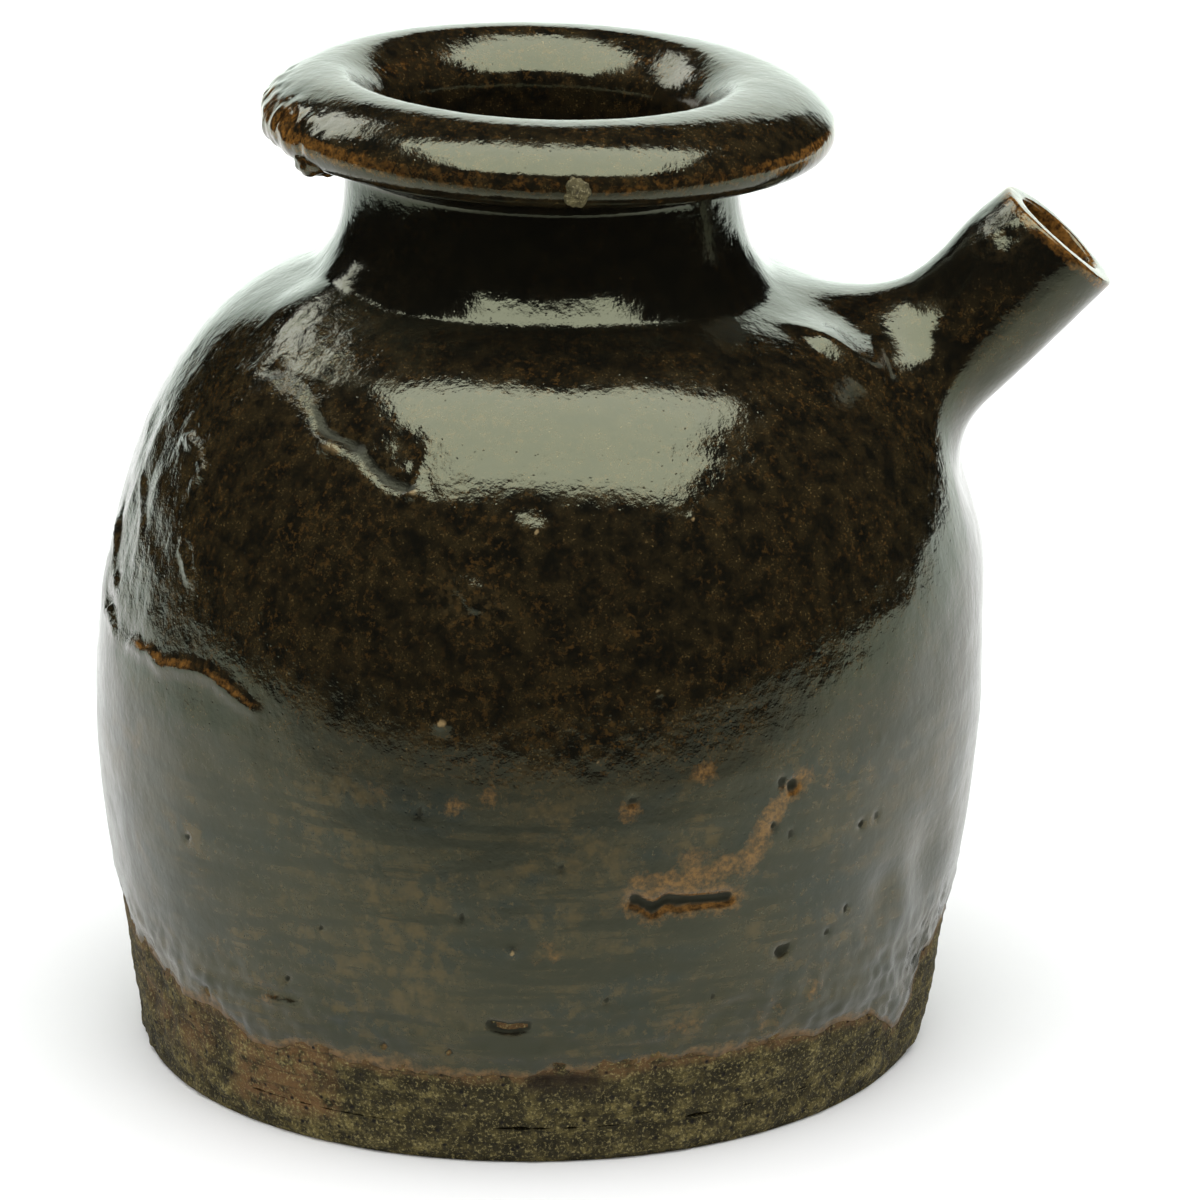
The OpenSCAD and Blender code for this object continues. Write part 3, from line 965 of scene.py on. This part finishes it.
class Recipe:
    """A node material round one Principled shader, its places in millimetres."""

    def __init__(self, name):
        self.material = bpy.data.materials.new(name)
        self.material.use_nodes = True
        self.tree = self.material.node_tree
        self.shader = self.tree.nodes["Principled BSDF"]
        inputs = {0: self.node("ShaderNodeTexCoord", {}, "Object"), "Scale": 1 / MM}
        self.place = self.node("ShaderNodeVectorMath", inputs, operation="SCALE")

    def node(self, kind, inputs, output=0, **settings):
        """Output of a new node with its settings, and its inputs linked or set."""
        made = self.tree.nodes.new(kind)
        for key, value in settings.items():
            setattr(made, key, value)
        for key, value in inputs.items():
            self.feed(made.inputs[key], value)
        return made.outputs[output]

    def feed(self, socket, value):
        """Link an output, or set a plain value, on a socket."""
        if isinstance(value, bpy.types.NodeSocket):
            self.tree.links.new(value, socket)
        elif socket.type == "RGBA":
            socket.default_value = (*value, 1)
        else:
            socket.default_value = value

    def stretched(self, factors):
        """Places squeezed along the axes, for grain that runs one way."""
        return self.node("ShaderNodeVectorMath", {0: self.place, 1: factors}, operation="MULTIPLY")

    def noise(self, size, detail=2.0, rough=0.5, place=None):
        inputs = {"Vector": place or self.place, "Scale": 1 / size, "Detail": detail, "Roughness": rough}
        return self.node("ShaderNodeTexNoise", inputs, "Fac")

    def cells(self, size):
        return self.node("ShaderNodeTexVoronoi", {"Vector": self.place, "Scale": 1 / size}, "Distance")

    def mark(self, name):
        return self.node("ShaderNodeAttribute", {}, "Fac", attribute_name=name)

    def math(self, operation, a, b=0.0):
        return self.node("ShaderNodeMath", {0: a, 1: b}, operation=operation)

    def times(self, a, b):
        return self.math("MULTIPLY", a, b)

    def plus(self, a, b):
        return self.math("ADD", a, b)

    def window(self, value, low, high, floor=0.0, ceiling=1.0):
        """value carried from low..high to floor..ceiling, smooth and held at the ends."""
        inputs = {"Value": value, "From Min": low, "From Max": high, "To Min": floor, "To Max": ceiling}
        return self.node("ShaderNodeMapRange", inputs, "Result", interpolation_type="SMOOTHSTEP")

    def mix(self, share, a, b, strength=1.0):
        """Colour a, turning to colour b by a share."""
        if strength != 1.0:
            share = self.times(share, strength)
        return self.node("ShaderNodeMix", {0: share, 6: a, 7: b}, 2, data_type="RGBA")

    def bump(self, height, depth_mm, under=None):
        """Normals over a height, laid on the normals under it."""
        inputs = {"Strength": 1.0, "Distance": depth_mm * MM, "Height": height}
        if under is not None:
            inputs["Normal"] = under
        return self.node("ShaderNodeBump", inputs)

    def finish(self, colour, rough, normal, **constants):
        constants.update(Base_Color=colour, Roughness=rough, Normal=normal)
        for key, value in constants.items():
            self.feed(self.shader.inputs[key.replace("_", " ")], value)
        return self.material


# Olive tint laid on the gloss's reflections, standing in for the colour of the light, and refraction of
# the gloss
OLIVE_LIGHT_TINT = (0.95, 1.0, 0.68)
GLOSS_IOR = 1.53


def brown_glaze_material():
    """Near-black brown gloss, breaking to amber where it is thin."""
    m = Recipe("brown_glaze")
    wide = m.noise(11, 3, 0.55)
    mottle = m.noise(2.6, 4, 0.62)
    speck = m.noise(0.85, 5, 0.74)
    fine = m.noise(0.32, 2, 0.6)
    patchy = m.window(speck, 0.36, 0.64)

    # mottled dark glaze of the body
    lively = m.math("SUBTRACT", 1.0, m.times(m.mark("calm"), 0.85))
    blotch = m.times(m.window(mottle, 0.34, 0.72), lively)
    colour = m.mix(blotch, (0.0056, 0.0052, 0.0036), (0.022, 0.0155, 0.0064))
    warm = m.times(m.window(speck, 0.5, 0.68), m.window(wide, 0.34, 0.6))
    colour = m.mix(m.times(warm, lively), colour, (0.052, 0.028, 0.0085))
    crumbs = m.times(m.window(fine, 0.6, 0.74), m.window(mottle, 0.45, 0.62))
    colour = m.mix(m.times(crumbs, lively), colour, (0.11, 0.072, 0.027))

    # duller blue-grey and brown haze of the lower third
    low = m.mark("low")
    blue = m.window(m.noise(9, 3, 0.6, m.stretched((0.5, 0.5, 1.2))), 0.42, 0.62)
    haze = m.mix(blue, (0.021, 0.016, 0.0075), (0.0035, 0.0072, 0.0095))
    tan = m.times(m.window(mottle, 0.42, 0.66), m.window(wide, 0.36, 0.62))
    haze = m.mix(tan, haze, (0.06, 0.037, 0.012))
    haze = m.mix(m.window(speck, 0.54, 0.7), haze, (0.062, 0.042, 0.018))
    streaks = m.window(m.noise(2.4, 4, 0.62, m.stretched((0.16, 0.16, 1.2))), 0.47, 0.62)
    haze = m.mix(streaks, haze, (0.004, 0.004, 0.003), 0.92)
    colour = m.mix(low, colour, haze, 0.9)

    # rust, amber edges, bare fringe, torn places, grit with a painted highlight on the fold's lip, and
    # pits with painted shade in the fold's hollow
    spread = m.window(m.plus(m.noise(1.6, 5, 0.7), m.mark("rust")), 0.98, 1.42)
    rust = m.mix(patchy, (0.04, 0.02, 0.007), (0.19, 0.088, 0.02))
    colour = m.mix(spread, colour, rust, 0.95)
    broken = m.window(m.plus(m.noise(1.1, 4, 0.68), m.mark("thin")), 1.04, 1.56)
    amber = m.mix(patchy, (0.04, 0.017, 0.005), (0.24, 0.108, 0.022))
    colour = m.mix(broken, colour, amber, 0.9)
    fringe = m.window(m.plus(m.noise(1.8, 5, 0.7), m.mark("fringe")), 1.0, 1.5)
    bare = m.mix(patchy, (0.045, 0.025, 0.01), (0.165, 0.086, 0.03))
    colour = m.mix(fringe, colour, bare, 0.95)
    torn = m.mark("torn")
    ripped = m.times(torn, m.window(m.noise(1.1, 3, 0.6), 0.44, 0.66))
    colour = m.mix(ripped, colour, (0.085, 0.055, 0.02), 0.7)
    # Pale specks of grit, and the painted highlight on the fold's lip
    grit = m.window(m.mark("grit"), 0.35, 0.75)
    colour = m.mix(grit, colour, m.mix(speck, (0.12, 0.06, 0.02), (0.42, 0.3, 0.14)), 0.85)
    # Pits and the slit painted near black, and painted shade in the fold's hollow
    pits_and_fold_shade = m.window(m.mark("pits_and_fold_shade"), 0.2, 0.6)
    colour = m.mix(pits_and_fold_shade, colour, (0.006, 0.004, 0.003))

    rough = m.window(mottle, 0.3, 0.75, 0.07, 0.15)
    for mask, more in ((low, 0.1), (torn, 0.1), (grit, 0.2), (fringe, 0.3), (pits_and_fold_shade, 0.45)):
        rough = m.plus(rough, m.times(mask, more))
    blister = m.times(m.noise(0.9, 3, 0.6), torn)
    pinholes = m.window(m.cells(1.15), 0.0, 0.2)
    normal = m.bump(m.noise(3.2, 2, 0.5), 0.09)
    for height, depth in ((m.noise(1.0), 0.04), (blister, 0.35), (pinholes, 0.02), (fine, 0.014)):
        normal = m.bump(height, depth, normal)
    return m.finish(colour, rough, normal, Specular_Tint=OLIVE_LIGHT_TINT, IOR=GLOSS_IOR)


def lining_material():
    """Thin amber-brown gloss inside the pot."""
    m = Recipe("lining_glaze")
    mottle = m.noise(2.6, 4, 0.6)
    colour = m.mix(m.window(mottle, 0.38, 0.66), (0.008, 0.0045, 0.002), (0.04, 0.018, 0.007))
    speck = m.window(m.noise(0.7, 3, 0.6), 0.58, 0.7)
    colour = m.mix(speck, colour, (0.1, 0.05, 0.018), 0.6)
    rough = m.window(mottle, 0.3, 0.75, 0.1, 0.22)
    normal = m.bump(m.noise(0.9), 0.04, m.bump(m.noise(2.5), 0.1))
    return m.finish(colour, rough, normal, Specular_Tint=OLIVE_LIGHT_TINT, IOR=GLOSS_IOR)


def clay_material(name, dark, mid, light, marked=False):
    """Rough fired stoneware with sandy grain and turning lines."""
    m = Recipe(name)
    wide = m.noise(6, 4, 0.6)
    grain = m.noise(0.95, 4, 0.7)
    fine = m.noise(0.4, 3, 0.7)
    lines = m.noise(1.1, 3, 0.6, m.stretched((0.06, 0.06, 1.6)))
    colour = m.mix(m.window(grain, 0.36, 0.64), dark, mid)
    colour = m.mix(m.window(wide, 0.46, 0.66), colour, dark, 0.6)
    if marked:
        high = m.mark("high")
        # Painted shade: darker in the low places of the grain's relief
        colour = m.mix(m.window(high, 0.3, 0.68), dark, colour)
        stain = m.times(m.mark("stain"), m.window(m.noise(2.1, 4, 0.66), 0.34, 0.56))
        colour = m.mix(stain, colour, (0.135, 0.072, 0.026), 0.9)
        # Painted highlight on the crests of the grain's relief
        painted_crest_highlight = m.times(m.window(high, 0.55, 0.85), m.window(fine, 0.4, 0.62))
        colour = m.mix(painted_crest_highlight, colour, light, 0.55)
    colour = m.mix(m.window(fine, 0.52, 0.68), colour, light, 0.7)
    colour = m.mix(m.window(lines, 0.55, 0.68), colour, dark, 0.5)
    holes = m.window(m.cells(1.9), 0.06, 0.2)
    colour = m.mix(holes, (0.01, 0.008, 0.005), colour)
    if marked:
        colour = m.mix(m.mark("hole"), colour, (0.022, 0.014, 0.007))
    normal = m.bump(lines, 0.3)
    for height, depth in ((grain, 0.4), (fine, 0.16), (holes, 0.2)):
        normal = m.bump(height, depth, normal)
    rough = m.window(grain, 0.3, 0.7, 0.72, 0.92)
    return m.finish(colour, rough, normal, IOR=1.3)


# ---- Stage


def table_front(x):
    """How far in front of the pot the pale table ends, by distance to the side."""
    return np.minimum(-235 + 0.00055 * x**2 + 0.05 * x, 450)


def stage_sheet(name, half, rows, material, glossy=True):
    """A stage surface swept across, from (y, z) rows in millimetres.

    The y of a row may be a rule of how far it lies from the middle.
    """
    across = np.linspace(-half, half, 81)
    points = []
    for y, z in rows:
        run = y(across) if callable(y) else np.full(len(across), y)
        points.append(np.stack([across, run, np.full(len(across), z)], 1))
    points = np.vstack(points)
    number = grid(len(points), len(across))
    faces = np.vstack([strip(a, b, closed=False) for a, b in zip(number[:-1], number[1:])])
    sheet = new_object(name, points, faces, material)
    sheet.visible_glossy = glossy


def pale_material():
    """Matt white, with painted shade in front of the pot and on the left, where the glaze mirrors it."""
    m = Recipe("pale_floor")
    shade = m.mix(m.noise(160, 2, 0.5), (0.92, 0.93, 0.92), (0.94, 0.94, 0.94))
    x, y = (m.node("ShaderNodeSeparateXYZ", {0: m.place}, axis) for axis in "XY")
    # A green tint far out, standing in for the colour of the light in the glaze's reflections
    far = m.math("MAXIMUM", m.window(m.math("ABSOLUTE", x), 180, 320), m.window(y, 620, 860))
    shade = m.mix(far, shade, (0.86, 0.935, 0.88))
    # Painted shade: darker in front of the pot and to the left, where the light falls off
    shade = m.mix(m.window(y, -170, -70), (0.4, 0.41, 0.4), shade)
    shade = m.mix(m.window(x, -640, -160), (0.55, 0.62, 0.58), shade)
    return m.finish(shade, 0.9, m.bump(m.noise(2.0), 0.01), IOR=1.3)


def softbox(name, radiance, size, place, tilt, turn=0, matt=True, glossy=True):
    """Flat soft light in metres, facing down, or tilted and then turned."""
    light = bpy.data.lights.new(name, "AREA")
    light.shape = "RECTANGLE"
    light.size, light.size_y = size
    light.energy = radiance * math.pi * size[0] * size[1]
    lamp = bpy.data.objects.new(name, light)
    lamp.location = place
    lamp.rotation_euler = (math.radians(tilt), 0, math.radians(turn))
    lamp.visible_camera = False
    lamp.visible_diffuse = matt
    lamp.visible_glossy = glossy
    bpy.context.scene.collection.objects.link(lamp)


def stage():
    """Pale sweep that the glaze mirrors, pale ground all round it, and soft light."""
    pale = pale_material()
    turn = arc([900, 300], 300, -90, 0, 12)
    rows = [(table_front, 0), (500, 0), *turn, (1200, 900)]
    stage_sheet("sweep", 610, rows, pale)
    stage_sheet("ground", 6000, [(-6000, -0.6), (6000, -0.6)], pale, glossy=False)
    box = (1.76, 1.22)
    # two boxes at one height would hide each other
    softbox("softbox", 2.2, box, (0.08, -0.36, 1.42), 0, glossy=False)
    softbox("softbox_sheen", 6.0, box, (0.08, -0.36, 1.4), 0, matt=False)
    softbox("left_sheen", 4.6, (0.46, 0.42), (-0.72, 0.6, 0.89), 50, -130, matt=False)
    softbox("back_light", 7.5, (1.6, 0.35), (0, 0.5, 0.95), 62, glossy=False)
    world = bpy.data.worlds.new("pale_room")
    world.use_nodes = True
    sky = world.node_tree.nodes["Background"].inputs
    sky["Color"].default_value = (1, 1, 1, 1)
    sky["Strength"].default_value = 0.92
    world.cycles_visibility.glossy = False
    bpy.context.scene.world = world
    bpy.context.scene.view_settings.view_transform = "Standard"


# Camera fitted to the photograph: place in metres, degrees it looks down and turns
CAMERA_PLACE = (0, -0.760, 0.3021)
CAMERA_DOWN = 17.83
CAMERA_TURN = -0.605
LENS_MM = 183.54


def camera():
    """Camera at the photograph's angle."""
    lens = bpy.data.cameras.new("camera")
    lens.sensor_width = 36
    lens.lens = LENS_MM
    lens.clip_end = 50
    made = bpy.data.objects.new("camera", lens)
    made.location = CAMERA_PLACE
    made.rotation_euler = (math.radians(90 - CAMERA_DOWN), 0, math.radians(CAMERA_TURN))
    bpy.context.scene.collection.objects.link(made)
    bpy.context.scene.camera = made


def build():
    """Every piece of the pot, with its material."""
    glaze = brown_glaze_material()
    lining = lining_material()
    foot = ((0.019, 0.0155, 0.005), (0.118, 0.094, 0.03), (0.28, 0.232, 0.095))
    bare = clay_material("bare_clay", *foot, marked=True)
    core = clay_material("body_clay", (0.08, 0.07, 0.04), (0.16, 0.14, 0.085), (0.24, 0.21, 0.14))
    grit = clay_material("kiln_grit", (0.06, 0.05, 0.02), (0.15, 0.127, 0.058), (0.32, 0.28, 0.15))
    base_slab(bare)
    lower_wall(bare)
    hidden_ring("dome_core", "shoulder_dome", SEAM_Z, NECK_ROOT_Z, core)
    hidden_ring("neck_core", "neck_collar", NECK_ROOT_Z, SEAT_Z, core)
    lip_clay(core)
    spout_tube(core)
    spout_luting(core)
    outer_glaze(glaze)
    inner_glaze(lining)
    drip = around(LIP_R - 2.4, LIP_EDGE_Z - 1.9, -58)
    blob("drip", "lip_drip", drip, (3.2, 3.0, 2.4), 0.3, glaze, 5, thin=0.7)
    crumb = around(LIP_R + 0.2, LIP_EDGE_Z - 0.4, 5)
    blob("grit", "lip_grit", crumb, (1.6, 1.0, 1.8), 0.45, grit, 9)


build()
stage()
camera()
